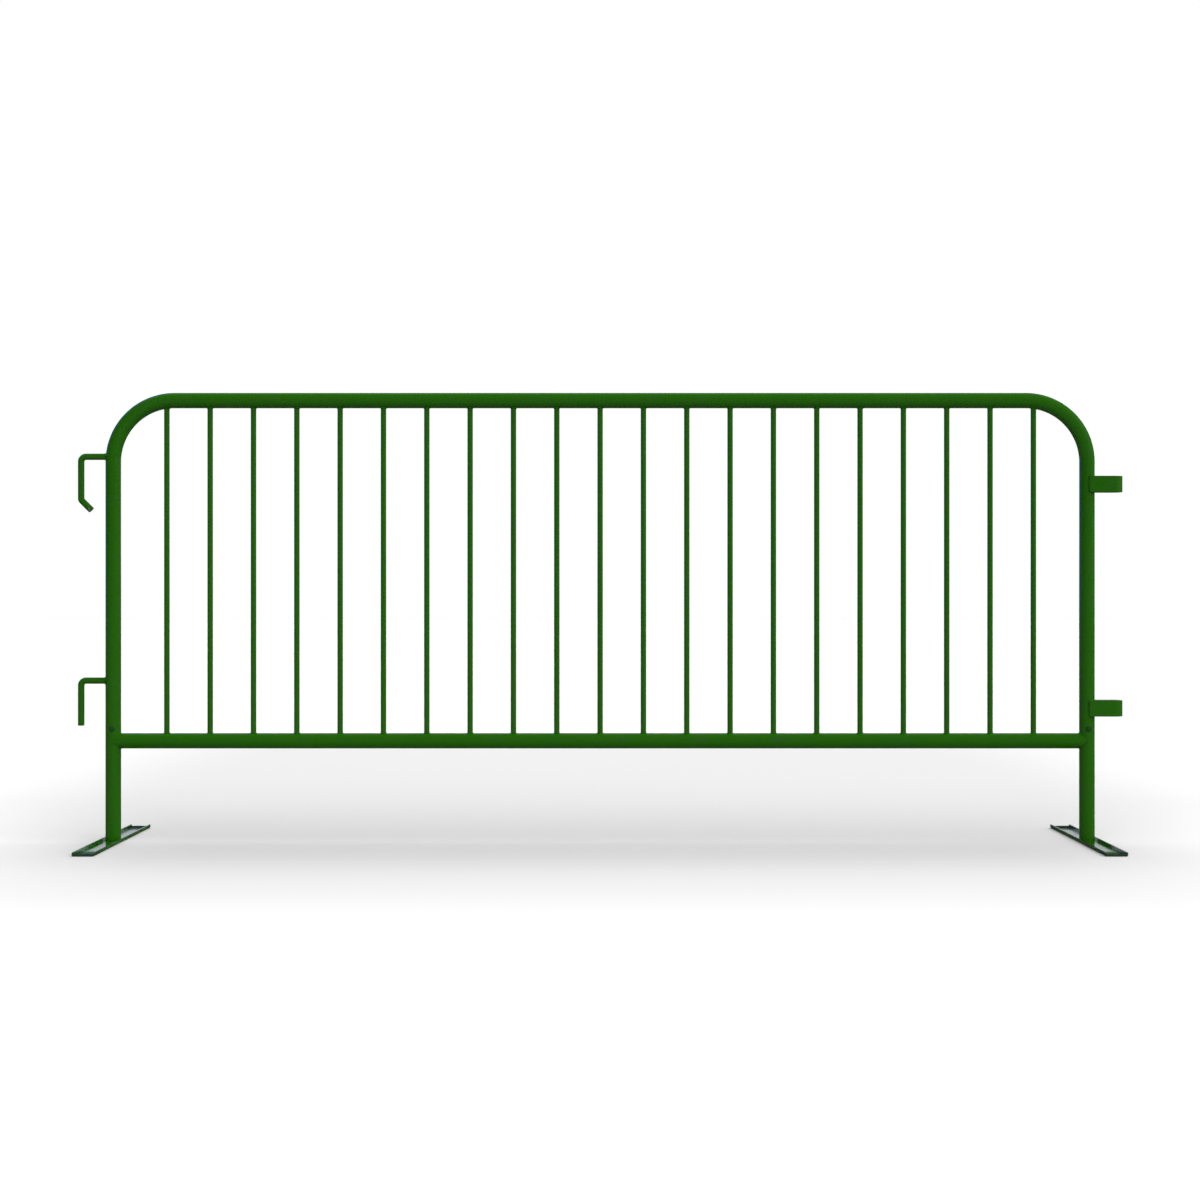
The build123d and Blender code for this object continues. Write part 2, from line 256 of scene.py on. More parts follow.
def ease_ends(path, full, small, edge, which=(True, True)):
    """Path and outlines with a rounded edge at the ends: over the last stretch, as long as
    the edge, the outline shrinks from full to small along a quarter circle."""
    angle = np.linspace(0, np.pi / 2, 5)
    outlines = np.repeat(full[None], len(path), 0)
    for end in (0, 1):
        if not which[end]:
            continue
        order = slice(None, None, -1) if end == 0 else slice(None)
        path, outlines = path[order], outlines[order]
        onward = (path[-1] - path[-2]) / np.linalg.norm(path[-1] - path[-2])
        place = path[-1] - onward * edge * (1 - np.sin(angle))[:, None]
        shrink = (1 - np.cos(angle))[:, None, None]
        path = np.concatenate([path[:-1], place])
        outlines = np.concatenate([outlines[:-1], full + (small - full) * shrink])
        path, outlines = path[order], outlines[order]
    return path, outlines

# %% [markdown]
# ## Surfaces of the members
#
# Beads lie where two members meet, so the next functions say how far the big tube's surface
# is from where a bead wants to sit. The frame has two kinds of stretch, straight and bent,
# and a hook and the outer pickets are near enough to a bend to feel it.

# %% Where the tube's surface is
def frame_underside(x, y):
    """Height of the top rail's lower surface. On a straight run it is the axis less the
    half chord at y. In a bend that same half chord is taken off the bend's radius, and the
    point lies on a circle of what is left round the bend's centre."""
    reach = CORNER_R - np.sqrt(TUBE_R**2 - y**2)
    into_bend = np.maximum(np.abs(x) - (UPRIGHT_X - CORNER_R), 0)
    return TOP_Z - CORNER_R + np.sqrt(reach**2 - into_bend**2)


def frame_outside(y, z):
    """Distance of an upright's outer surface from the panel's middle, in the same way."""
    reach = CORNER_R + np.sqrt(TUBE_R**2 - y**2)
    into_bend = np.maximum(z - (TOP_Z - CORNER_R), 0)
    return UPRIGHT_X - CORNER_R + np.sqrt(reach**2 - into_bend**2)


print(f"top rail: underside {frame_underside(0, 0):.4f} m up at its middle")

# %% [markdown]
# ## Frame tube
#
# The real frame is one length of tube: up from one foot, round a bend, along the top, round
# the other bend and down to the other foot. It is open at both ends, because the feet's
# spigots stand inside it. The outline here is a circle. It goes out along the path at the
# outer radius and comes back at the bore's, so the wall is closed at both lips.

# %% Frame tube
frame_path = bent_path(
    [
        (-UPRIGHT_X, 0, LEG_END),
        (-UPRIGHT_X, 0, TOP_Z),
        (UPRIGHT_X, 0, TOP_Z),
        (UPRIGHT_X, 0, LEG_END),
    ],
    [CORNER_R, CORNER_R],
    arc_points=40,
)


def tube_grid(path, square, outer, bore, around):
    """Outward along the path at the outer radius, then back at the bore's radius."""
    outside = carry(circle(outer, around), path, square)
    inside = carry(circle(bore, around), path, square)
    return np.concatenate([outside, inside[::-1]])


ALONG_Y = (0, 1, 0)
frame_grid = tube_grid(frame_path, ALONG_Y, TUBE_R, BORE_R, AROUND_TUBE)
frame_tube = make_piece("frame_tube", frame_grid, ring=True)
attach(frame_tube, "panel")
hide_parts("top_frame_tube")
length = np.linalg.norm(np.diff(frame_path, axis=0), axis=1).sum()
print(f"frame tube: {length:.3f} m of tube, {len(frame_tube.data.polygons)} faces")

# %% [markdown]
# ## Bottom rail
#
# The bottom rail is cut between the uprights, and each end is notched, or coped, to fit
# round them. A boolean cut would do it, but leaves long thin triangles that shade badly. The
# notch has a formula, so the ends of the grid's lines are simply put on it.

# %% Bottom rail
RAIL_ROWS = 24
COPE_BITE = 0.3 * MM
HAIR = 0.001 * MM


def coped_grid(radius):
    """At an angle a round the rail, y is r sin(a), and the upright's surface is the square
    root of R squared less y squared from its axis. The line runs from one to the other, and
    a bite further, so that no gap shows."""
    angle = full_turn(AROUND_TUBE)
    y, z = radius * np.sin(angle), radius * np.cos(angle)
    reach = UPRIGHT_X - np.sqrt(TUBE_R**2 - y**2) + COPE_BITE
    share = np.linspace(-1, 1, RAIL_ROWS)[:, None]
    return np.stack(np.broadcast_arrays(share * reach, y, RAIL_Z + z), -1)


# The hair keeps y inside R, where the square root has a value.
rail_grid = np.concatenate([coped_grid(TUBE_R - HAIR), coped_grid(BORE_R)[::-1]])
rail_tube = make_piece("bottom_rail_tube", rail_grid, ring=True)
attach(rail_tube, "panel")
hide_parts("bottom_rail")
print(f"bottom rail: {len(rail_tube.data.polygons)} faces")

# %% [markdown]
# ## Pickets
#
# Thin tubes stand in holes punched through the walls of both rails, so their ends are out of
# sight inside. Each is a piece of its own, as each is cut and set by hand on the real panel.

# %% Pickets
picket_tubes = []
for name, x in zip(PICKETS, PICKET_X):
    line = straight(*(np.array([x, 0, end]) for end in PICKET_ENDS))
    grid = tube_grid(line, ALONG_Y, PICKET_R, PICKET_R - PICKET_WALL, AROUND_PICKET)
    tube = make_piece(name + "_tube", grid, ring=True)
    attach(tube, "panel")
    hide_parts(name)
    picket_tubes.append(tube)
print(f"{len(picket_tubes)} pickets of {len(picket_tubes[0].data.polygons)} faces")

# %% [markdown]
# ## Weld beads
#
# A bead of this kind is laid in short overlapping pools, and each leaves a curved ripple that
# the paint softens but doesn't hide. A bead is a round outline carried along the seam. The
# ripple is a change of its radius: one rounded tooth for each pool, bent into a chevron by
# letting the tooth start later on the bead's crown than on its flanks. Slow waves, different
# in every bead, stop a row of them from looking stamped.

# %% Beads along seams
random = np.random.default_rng(11)
TOOTH = 0.16
CHEVRON = 0.35
UNEVENNESS = 0.1
BEAD_CREASE = 80


def pool_tooth(pool):
    """Change of the radius where a share of a pool has gone by. It rises as the square root
    of the share and falls back at the pool's end. The 0.6 keeps its mean close to nought."""
    return TOOTH * (np.sqrt(pool) - 0.6)


def bead_grids(seams, towards, radius, pools, around=12):
    """A round outline carried along closed seams. seams[seam, row] are points, towards is the
    way the bead's middle faces there. The radius is r (1 + tooth + waves), where the waves
    are three sines that go once, twice and three times round the seam."""
    along = np.roll(seams, -1, 1) - np.roll(seams, 1, 1)
    along /= np.linalg.norm(along, axis=2, keepdims=True)
    face = towards - (towards * along).sum(2, keepdims=True) * along
    face /= np.linalg.norm(face, axis=2, keepdims=True)
    side = np.cross(along, face)
    angle = full_turn(around)
    turn = np.linspace(0, 1, seams.shape[1], endpoint=False)[None, :, None]
    phase = random.random((len(seams), 1, 1))
    pool = (turn * pools + phase - CHEVRON * np.cos(angle)) % 1
    waves = sum(
        UNEVENNESS / k * np.sin(2 * np.pi * (k * turn + random.random((len(seams), 1, 1))))
        for k in (1, 2, 3)
    )
    size = np.broadcast_to(radius, seams.shape[:2])[..., None] * (1 + pool_tooth(pool) + waves)
    reach = face[:, :, None] * np.cos(angle)[:, None] + side[:, :, None] * np.sin(angle)[:, None]
    return seams[:, :, None] + size[..., None] * reach

# %% [markdown]
# ### Beads round the pickets
#
# Where a thin tube enters a thick one, the seam is a circle seen from the thin tube's end and
# a saddle seen from the side. Its height is the rail's own surface at each point, so the
# outer pickets' beads follow the bend of the frame without any further care.

# %% Beads round the pickets
PICKET_BEAD = 1.4 * MM
turn = full_turn(72)[None]
x = PICKET_X[:, None] + PICKET_R * np.cos(turn)
y = np.broadcast_to(PICKET_R * np.sin(turn), x.shape)
outwards = np.stack(np.broadcast_arrays(np.cos(turn), np.sin(turn), 0 * x), -1)
UP = np.array([0.0, 0.0, 1.0])

top_seams = np.stack([x, y, frame_underside(x, y)], -1)
top_grids = bead_grids(top_seams, outwards - UP, PICKET_BEAD, pools=13)
top_beads = make_piece("picket_top_beads", top_grids, ring=True, crease=BEAD_CREASE)
bottom_seams = np.stack([x, y, RAIL_Z + np.sqrt(TUBE_R**2 - y**2)], -1)
bottom_grids = bead_grids(bottom_seams, outwards + UP, PICKET_BEAD, pools=13)
bottom_beads = make_piece("picket_bottom_beads", bottom_grids, ring=True, crease=BEAD_CREASE)
for beads, node in ((top_beads, "picket_top_welds"), (bottom_beads, "picket_bottom_welds")):
    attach(beads, "panel")
    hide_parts(node)
print(f"picket beads: {len(top_beads.data.polygons)} faces along each rail")

# %% [markdown]
# ### Beads round the bottom rail's ends
#
# Two equal tubes that cross meet along two half ellipses, which touch at the front and the
# back. With t as the angle round the rail, the seam is R cos(t) above the rail's axis, R sin(t)
# in front of it, and the size of R cos(t) away from the upright's axis. A welder needs less
# metal at the front and back, where the tubes lie tangent, so the bead thins there.

# %% Beads round the rail's ends
# Small enough to stay inside the upright's wall, clear of the spigot that turns behind it.
RAIL_BEAD = 1.5 * MM
SEAM_ROUNDING = 1.2 * MM
turn = full_turn(160)[None]
side = np.array([[-1.0], [1.0]])
# The size of R cos(t) has a sharp corner at nought. The square root of a sum rounds it off.
rounded = np.sqrt((TUBE_R * np.cos(turn)) ** 2 + SEAM_ROUNDING**2)
seam_y, seam_z = np.broadcast_arrays(TUBE_R * np.sin(turn), TUBE_R * np.cos(turn) + 0 * side)
rail_seams = np.stack([side * (UPRIGHT_X - rounded), seam_y, RAIL_Z + seam_z], -1)
facing = np.stack([-side * rounded, 2 * seam_y, seam_z], -1)
size = RAIL_BEAD * (0.6 + 0.4 * np.abs(np.cos(turn)))
rail_bead_grids = bead_grids(rail_seams, facing, size, pools=38)
rail_beads = make_piece("rail_end_beads", rail_bead_grids, ring=True, crease=BEAD_CREASE)
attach(rail_beads, "panel")
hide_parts("rail_end_welds")
print(f"rail end beads: {len(rail_beads.data.polygons)} faces")

# %% [markdown]
# ## Hooks
#
# Each hook is one piece of round rod, bent cold. Both leave the left upright level and turn
# down. The lower one ends square. The upper one is kinked back towards the upright, which is
# what keeps a linked barrier from being lifted off. A saw leaves the ends flat, and the
# fabricator breaks the edge, so the outline shrinks a little over the last millimetre.
#
# Hooks rub on their neighbours' loops, so they carry some wear: most on the inside of the
# legs and at the tips. It is stored for each point as a number, and the paint decides later
# what to make of it.

# %% Hooks
HOOK_NAMES = ("upper_hook", "lower_hook")
HOOK_BEND = 12 * MM
KINK_BEND = 9 * MM
UPPER_DROP, TIP_LENGTH, TIP_ANGLE = 107.5 * MM, 36.5 * MM, math.radians(45)
SAWN_EDGE = 0.9 * MM
# The rod's inner end is out of sight, inside the upright.
ROOT_X = -UPRIGHT_X - 0.8 * TUBE_R
hooks = {}
for name in HOOK_NAMES:
    low, high = node_box(name)
    leg_x, level = low[0] + ROD_R, high[2] - ROD_R
    corners, radii = [(ROOT_X, 0, level), (leg_x, 0, level)], [HOOK_BEND]
    if name == "upper_hook":
        kink_z = level - UPPER_DROP
        tip_x, tip_z = leg_x + TIP_LENGTH * math.sin(TIP_ANGLE), kink_z - TIP_LENGTH * math.cos(TIP_ANGLE)
        corners += [(leg_x, 0, kink_z), (tip_x, 0, tip_z)]
        radii += [KINK_BEND]
    else:
        corners += [(leg_x, 0, low[2])]
    path = bent_path(corners, radii, arc_points=24, gap=8 * MM)
    full, small = circle(ROD_R, AROUND_ROD), circle(ROD_R - SAWN_EDGE, AROUND_ROD)
    path, outlines = ease_ends(path, full, small, SAWN_EDGE, which=(False, True))
    grid = carry(outlines, path, ALONG_Y)
    # below runs from 0 at the top to 1 at the tip. The leg's inner side wears from 0.3 down,
    # and the tip is the last eighth.
    below = (level - grid[..., 2]) / (level - low[2])
    towards_upright = np.clip((grid[..., 0] - leg_x) / ROD_R, 0, 1)
    rubbed = 0.8 * np.clip(below - 0.3, 0, 1) * towards_upright + 0.6 * np.clip(below * 8 - 7, 0, 1)
    hook = make_piece(name + "_rod", grid, wear=np.clip(rubbed, 0, 1))
    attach(hook, "panel")
    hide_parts(name)
    hooks[name] = hook
    print(f"{name}: {len(hook.data.polygons)} faces, leg {1e3 * (-UPRIGHT_X - leg_x):.1f} mm out")

# %% [markdown]
# ### Beads round the hooks' roots
#
# The rod is butted against the upright's outer side and welded all round. The seam is a
# circle again, this time seen along the rod, and its reach is the tube's outer surface.

# %% Beads round the hooks' roots
HOOK_BEAD = 1.8 * MM
turn = full_turn(96)[None]
levels = np.array([[node_box(name)[1, 2] - ROD_R] for name in HOOK_NAMES])
y = np.broadcast_to(ROD_R * np.cos(turn), (2, turn.size))
z = levels + ROD_R * np.sin(turn)
hook_seams = np.stack([-frame_outside(y, z), y, z], -1)
facing = np.stack([-np.ones_like(y), y / ROD_R, (z - levels) / ROD_R], -1)
hook_bead_grids = bead_grids(hook_seams, facing, HOOK_BEAD, pools=16)
hook_beads = make_piece("hook_root_beads", hook_bead_grids, ring=True, crease=BEAD_CREASE)
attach(hook_beads, "panel")
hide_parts("hook_welds")
print(f"hook beads: {len(hook_beads.data.polygons)} faces")

# %% [markdown]
# ## Loops
#
# A loop is flat bar bent round a tube of the frame's own size. Its arms lie against the front
# and the back of the right upright. Flat bar is rolled, so its long edges are slightly round,
# and light catches them as a thin line. The outline is a rounded rectangle, carried along a U.

# %% Loops
LOOP_NAMES = ("upper_loop", "lower_loop")
LOOP_ARM_START = 2 * MM
ROLLED_EDGE = 0.9 * MM
CUT_EDGE = 0.4 * MM
RUBBED_END = 12 * MM
arm_y = TUBE_R + BAR / 2
loops = {}
for name in LOOP_NAMES:
    low, high = node_box(name)
    start_x, end_x = UPRIGHT_X + LOOP_ARM_START, high[0] - BAR / 2
    middle, bar_height = (low[2] + high[2]) / 2, high[2] - low[2]
    front_arm = [(start_x, -arm_y, middle), (end_x, -arm_y, middle)]
    back_arm = [(end_x, arm_y, middle), (start_x, arm_y, middle)]
    path = bent_path(front_arm + back_arm, [arm_y, arm_y], arc_points=25, gap=6 * MM)
    full = rounded_rectangle(bar_height, BAR, ROLLED_EDGE)
    small = rounded_rectangle(bar_height - 2 * CUT_EDGE, BAR - 2 * CUT_EDGE, ROLLED_EDGE - CUT_EDGE)
    path, outlines = ease_ends(path, full, small, CUT_EDGE)
    grid = carry(outlines, path, UP)
    # The bar wears along its two long edges and, less, all over its closed end.
    at_edge = np.clip(np.abs(grid[..., 2] - middle) / (bar_height / 2) * 10 - 8.9, 0, 1)
    at_end = np.clip((grid[..., 0] - (end_x - RUBBED_END)) / RUBBED_END, 0, 1)
    loop = make_piece(name + "_bar", grid, wear=np.clip(0.75 * at_edge + 0.35 * at_end, 0, 1))
    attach(loop, "panel")
    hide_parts(name)
    loops[name] = loop
    print(f"{name}: {len(loop.data.polygons)} faces")

# %% [markdown]
# ### Beads along the loops' arms
#
# Each arm is welded along its cut end, straight down the upright. These beads have two ends,
# and a real one starts and stops in a small rounded crater, so the radius falls to nothing
# there as the square root does.

# %% Beads along the arms
LOOP_BEAD = 2.8 * MM
BEAD_MARGIN = 2 * MM
share = np.linspace(0, 1, 60)[:, None]
angle = full_turn(14)[None]
crater = np.sqrt(np.clip(np.minimum(share, 1 - share) * 12, 1e-4, 1))
arm_bead_grids = []
for name in LOOP_NAMES:
    low, high = node_box(name)
    for side in (-1, 1):
        pool = (share * 9 + random.random() - 0.3 * np.cos(angle)) % 1
        wave = 0.05 * np.sin(7 * share + 3 * random.random())
        size = LOOP_BEAD * crater * (1 + pool_tooth(pool) + wave)
        # The bead's middle lies just behind the arm's end and just outside the tube's side.
        x = UPRIGHT_X + LOOP_ARM_START - 0.3 * MM - size * np.cos(angle)
        y = side * (TUBE_R + 0.2 * MM + size * np.sin(angle))
        z = low[2] + BEAD_MARGIN + share * (high[2] - low[2] - 2 * BEAD_MARGIN)
        # The front bead mirrors the back one, so its columns are turned round to face outwards.
        arm_bead_grids.append(np.stack(np.broadcast_arrays(x, y, z), -1)[:, ::side])
arm_beads = make_piece("loop_arm_beads", arm_bead_grids, crease=BEAD_CREASE)
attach(arm_beads, "panel")
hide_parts("loop_welds")
print(f"loop beads: {len(arm_beads.data.polygons)} faces")

# %% [markdown]
# ## Rivets
#
# A domed rivet goes through the front wall of each leg into a slot in the spigot, and is
# painted over with the panel. A surface of revolution suits it: a profile of radius against
# depth, spun about the rivet's axis. The paint fills the corner where the head meets the tube.

# %% Rivets
RIVET_BOX = node_box("foot_rivets")
rivet_z = RIVET_BOX[:, 2].mean()
head_r = (RIVET_BOX[1, 2] - RIVET_BOX[0, 2]) / 2
head_top, shank_end = RIVET_BOX[0, 1], RIVET_BOX[1, 1]
head_height = -TUBE_R - head_top
# The dome starts a little off its pole, and the fan that closes the grid covers the rest.
dome = np.linspace(0.06, np.pi / 2, 12)
# Share of the head's radius and depth: the rim, the corner under it, and the shank's end.
shank = np.array(
    [
        (1, -TUBE_R + 1.1 * MM),
        (0.66, -TUBE_R + 1.2 * MM),
        (0.64, shank_end - 0.4 * MM),
        (0.6, shank_end),
    ]
)
profile_r = head_r * np.concatenate([np.sin(dome), shank[:, 0]])
profile_y = np.concatenate([head_top + head_height * (1 - np.cos(dome)), shank[:, 1]])
spin = full_turn(36)[None]
rivet_grids = [
    np.stack(
        np.broadcast_arrays(
            side * UPRIGHT_X + profile_r[:, None] * np.cos(spin),
            profile_y[:, None],
            rivet_z + profile_r[:, None] * np.sin(spin),
        ),
        -1,
    )
    for side in (-1, 1)
]
# The outer edge of each head is painted darker: a painted shade where the head meets the tube.
rim = np.clip((profile_r / head_r - 0.8) * 3, 0, 0.5)[:, None]
rivets = make_piece("foot_rivet_heads", rivet_grids, crease=50, grime=rim)
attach(rivets, "panel")
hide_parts("foot_rivets")
print(f"rivets: heads {2e3 * head_r:.1f} mm wide, {1e3 * head_height:.1f} mm high")

# %% [markdown]
# ## Writing shader maths as expressions
#
# A paint shader needs sums: a noise times a strength plus an offset, and so on. In the node
# editor each sum is one Math node. Here a small class wraps a socket and overloads the
# operators, so that an expression in Python adds the same nodes. Anything that isn't a sum
# comes from one method, which takes the node's type, its settings and its inputs.

# %% A wrapped socket and a node maker
class Value:
    """A socket that can stand in a sum. Every operator adds one Math node."""

    def __init__(self, maker, socket):
        self.maker, self.socket = maker, socket

    def __add__(self, other):
        return self.maker.sum("ADD", self, other)

    def __sub__(self, other):
        return self.maker.sum("SUBTRACT", self, other)

    def __rsub__(self, other):
        return self.maker.sum("SUBTRACT", other, self)

    def __mul__(self, other):
        return self.maker.sum("MULTIPLY", self, other)

    def __pow__(self, other):
        return self.maker.sum("POWER", self, other)

    def __neg__(self):
        return self * -1

    def __abs__(self):
        return self.maker.sum("ABSOLUTE", self)

    __radd__, __rmul__ = __add__, __mul__

    def clamped(self):
        return self.maker.sum("ADD", self, 0.0, clamp=True)


class Maker:
    """Adds nodes to one tree."""

    def __init__(self, tree):
        self.tree = tree
        tree.nodes.clear()

    def node(self, kind, settings=None, inputs=None, output=0):
        """One node: settings are set first, then inputs get numbers, colours or links."""
        made = self.tree.nodes.new(kind)
        for key, setting in (settings or {}).items():
            if key == "stops":
                # A new ramp has two stops already, which become the first and the last.
                ramp = made.color_ramp.elements
                ramp[0].position, ramp[0].color = setting[0]
                ramp[1].position, ramp[1].color = setting[-1]
                for share, colour in setting[1:-1]:
                    ramp.new(share).color = colour
            else:
                setattr(made, key, setting)
        for key, value in (inputs or {}).items():
            if isinstance(value, Value):
                self.tree.links.new(value.socket, made.inputs[key])
            else:
                made.inputs[key].default_value = value
        return Value(self, made.outputs[output]) if made.outputs else None

    def sum(self, operation, *terms, clamp=False):
        """One Math node."""
        settings = {"operation": operation, "use_clamp": clamp}
        return self.node("ShaderNodeMath", settings, dict(enumerate(terms)))

    def split(self, vector):
        """The x, y and z of a vector, all from one node."""
        x = self.node("ShaderNodeSeparateXYZ", None, {"Vector": vector})
        return [Value(self, socket) for socket in x.socket.node.outputs]

    def noise(self, place, scale, detail=2.0, roughness=0.5):
        """A cloudy pattern from 0 to 1, about 0.5 on average. The scale is cells per metre."""
        settings = {"noise_dimensions": "3D"}
        inputs = {"Vector": place, "Scale": scale, "Detail": detail, "Roughness": roughness}
        return self.node("ShaderNodeTexNoise", settings, inputs)

    def step(self, value, low, high):
        """0 below low, 1 above high and a smooth rise between."""
        settings = {"interpolation_type": "SMOOTHSTEP"}
        return self.node("ShaderNodeMapRange", settings, {"Value": value, "From Min": low, "From Max": high})

    def mix(self, factor, first, second):
        """The first colour where the factor is 0 and the second where it is 1."""
        settings = {"data_type": "RGBA"}
        return self.node("ShaderNodeMix", settings, {0: factor, 6: first, 7: second}, output=2)


def new_material(name):
    """An empty material and the maker of its nodes."""
    material = bpy.data.materials.new(name)
    material.use_nodes = True
    return material, Maker(material.node_tree)

# %% [markdown]
# ## Powder coat
#
# Powder coat is plastic baked on to the steel: thick, even and glossy, with a faint orange
# peel where the powder didn't quite flow out. Up close its colour is not one green. It drifts
# from place to place, has darker flecks, and is a little paler and duller where fine dust
# lies. Shade is painted in as a darker green in two corners: round each rivet's head and
# near the lip at each end of a foot. At the places that rub, the paint is chipped to grey
# primer and bare metal.
#
# One shader serves the panel and the feet, since all are sprayed and baked in one go. The
# chips read the wear stored in each piece. Noise decides where a chip is, wear how likely.

# %% Powder coat
GREEN_DEEP = (0.0112, 0.090, 0.0005, 1)
GREEN_BRIGHT = (0.0138, 0.105, 0.0006, 1)
GREEN_DARK = (0.010, 0.070, 0.0006, 1)
DUST = (0.30, 0.31, 0.27, 1)
# Darker green, painted in as shade round the rivets' heads and near the feet's lips.
CORNER_SHADE_GREEN = (0.008, 0.022, 0.012, 1)
PRIMER = (0.16, 0.165, 0.16, 1)
BARE_STEEL = (0.33, 0.32, 0.31, 1)


def painted_corner_shade(make, place):
    """Shares of painted shade in two corners. Round a rivet's head it is a ring, by the root of the
    sum of squares of x and z from the rivet's axis, on the tube's front alone. In a foot it
    is the last stretch of the channel's floor, near the lip that closes its end."""
    x, y, z = make.split(place)
    aside, above = abs(x) - UPRIGHT_X, z - rivet_z
    distance = (aside * aside + above * above) ** 0.5
    ring = 1 - make.step(distance, head_r - 0.4 * MM, head_r + 2.2 * MM)
    ring = ring * make.step(-y, 12 * MM, 15 * MM) * make.step(-y, 0.0, TUBE_R - 1 * MM)
    near_lip = make.step(abs(y), FOOT_END - 100 * MM, FOOT_END - 20 * MM)
    return ring, near_lip * (1 - make.step(z, 5 * MM, 8 * MM))


def powder_coat():
    """Green, then flecks, dust, painted corner shade, primer and steel, each mixed over the ones before."""
    material, make = new_material("green_powder_coat_finish")
    place = make.node("ShaderNodeTexCoord", output="Object")
    wear = make.node("ShaderNodeAttribute", {"attribute_name": "wear"}, output="Fac")
    grime = make.node("ShaderNodeAttribute", {"attribute_name": "grime"}, output="Fac")

    patches = make.noise(place, 3.5, 3.0)
    flecks = make.noise(place, 240.0, 2.0)
    dust = make.step(make.noise(place, 22.0, 5.0, 0.6), 0.5, 0.8)
    fine = make.noise(place, 900.0, 1.0)
    # The feet drag over paving, so their lowest few millimetres chip as well.
    dragged = 1 - make.step(make.split(place)[2], 1 * MM, 5 * MM)
    rubbed = make.noise(place, 330.0, 3.0, 0.65) + wear * 0.2 + dragged * 0.13
    chips = make.step(rubbed, 0.76, 0.78)
    bare = make.step(rubbed, 0.81, 0.84)
    # Painted shade: darker green round the rivets' heads, on their rims and on the channels' floors near the
    # lips, with a noise over it. The stretch near the lips is also made rougher.
    ring, foot_lip_shade = painted_corner_shade(make, place)
    corner_shade = (ring * 0.75 + grime + foot_lip_shade * 0.7).clamped() * (0.6 + 0.4 * make.noise(place, 260.0, 3.0))

    colour = make.mix(patches, GREEN_DEEP, GREEN_BRIGHT)
    colour = make.mix(flecks * 0.12, colour, GREEN_DARK)
    colour = make.mix(dust * 0.006, colour, DUST)
    colour = make.mix(corner_shade, colour, CORNER_SHADE_GREEN)
    colour = make.mix(chips, colour, PRIMER)
    colour = make.mix(bare, colour, BARE_STEEL)

    peel = make.noise(place, 420.0, 2.0) * 0.6 + make.noise(place, 90.0, 2.0) * 1.2
    height = peel - chips * 2.5
    bump = {"Strength": 0.3, "Distance": 0.05 * MM, "Height": height}
    normal = make.node("ShaderNodeBump", None, bump)
    rough = 0.09 + patches * 0.05 + dust * 0.1 + fine * 0.04 + chips * 0.35 + foot_lip_shade * 0.3
    shader = make.node(
        "ShaderNodeBsdfPrincipled",
        None,
        {
            "Base Color": colour,
            "Roughness": rough.clamped(),
            "Metallic": bare * 0.8,
            "Specular IOR Level": 0.5,
            "Normal": normal,
        },
    )
    make.node("ShaderNodeOutputMaterial", None, {"Surface": shader})
    return material


paint = powder_coat()
print("powder coat:", len(paint.node_tree.nodes), "nodes")

# %% [markdown]
# ## Spigot steel
#
# The spigots are galvanised before they are welded to the feet, and turning in the legs
# rubs them. Zinc freezes in large crystals, its spangle, which a Voronoi pattern makes well:
# each cell has its own grey and its own gloss. Rub marks run round, so they are noise that
# is squashed in height.

# %% Spigot steel
ZINC_DARK = (0.30, 0.31, 0.32, 1)
ZINC_PALE = (0.47, 0.48, 0.50, 1)
ZINC_RUBBED = (0.52, 0.51, 0.50, 1)


def spigot_steel():
    """Each crystal's grey is one channel of its random colour. Rubs are mixed over it."""
    material, make = new_material("galvanised_spigot_finish")
    place = make.node("ShaderNodeTexCoord", output="Object")
    cells = {"Vector": place, "Scale": 160.0}
    spangle = make.node("ShaderNodeTexVoronoi", {"feature": "F1"}, cells, output="Color")
    grey = make.node("ShaderNodeSeparateColor", None, {"Color": spangle})
    squashed = make.node("ShaderNodeMapping", None, {"Vector": place, "Scale": (1, 1, 40)})
    rubs = make.step(make.noise(squashed, 60.0, 4.0), 0.55, 0.75)
    colour = make.mix(grey, ZINC_DARK, ZINC_PALE)
    colour = make.mix(rubs * 0.6, colour, ZINC_RUBBED)
    bump = {"Strength": 0.3, "Distance": 0.05 * MM, "Height": rubs + grey * 0.3}
    normal = make.node("ShaderNodeBump", None, bump)
    rough = 0.36 + grey * 0.16 - rubs * 0.1
    shader = make.node(
        "ShaderNodeBsdfPrincipled",
        None,
        {"Base Color": colour, "Metallic": 0.9, "Roughness": rough.clamped(), "Normal": normal},
    )
    make.node("ShaderNodeOutputMaterial", None, {"Surface": shader})
    return material


steel = spigot_steel()
print("spigot steel:", len(steel.node_tree.nodes), "nodes")

# %% [markdown]
# ## Putting the finishes on
#
# New pieces get the paint in their one slot. The feet keep their CAD nodes, because folded
# sheet with a lip at each end and a countersunk hole is already the right shape. A CAD mesh
# may not be touched, but its material may be swapped.

# %% Assign
painted = [frame_tube, rail_tube, *picket_tubes, top_beads, bottom_beads, rail_beads]
painted += [*hooks.values(), hook_beads, *loops.values(), arm_beads, rivets]
for piece in painted:
    piece.data.materials.append(paint)
for side in ("left", "right"):
    for part in ("channel", "weld"):
        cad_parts[f"{side}_foot_{part}"].data.materials[0] = paint
    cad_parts[f"{side}_foot_spigot"].data.materials[0] = steel
print(len(painted), "new pieces painted")

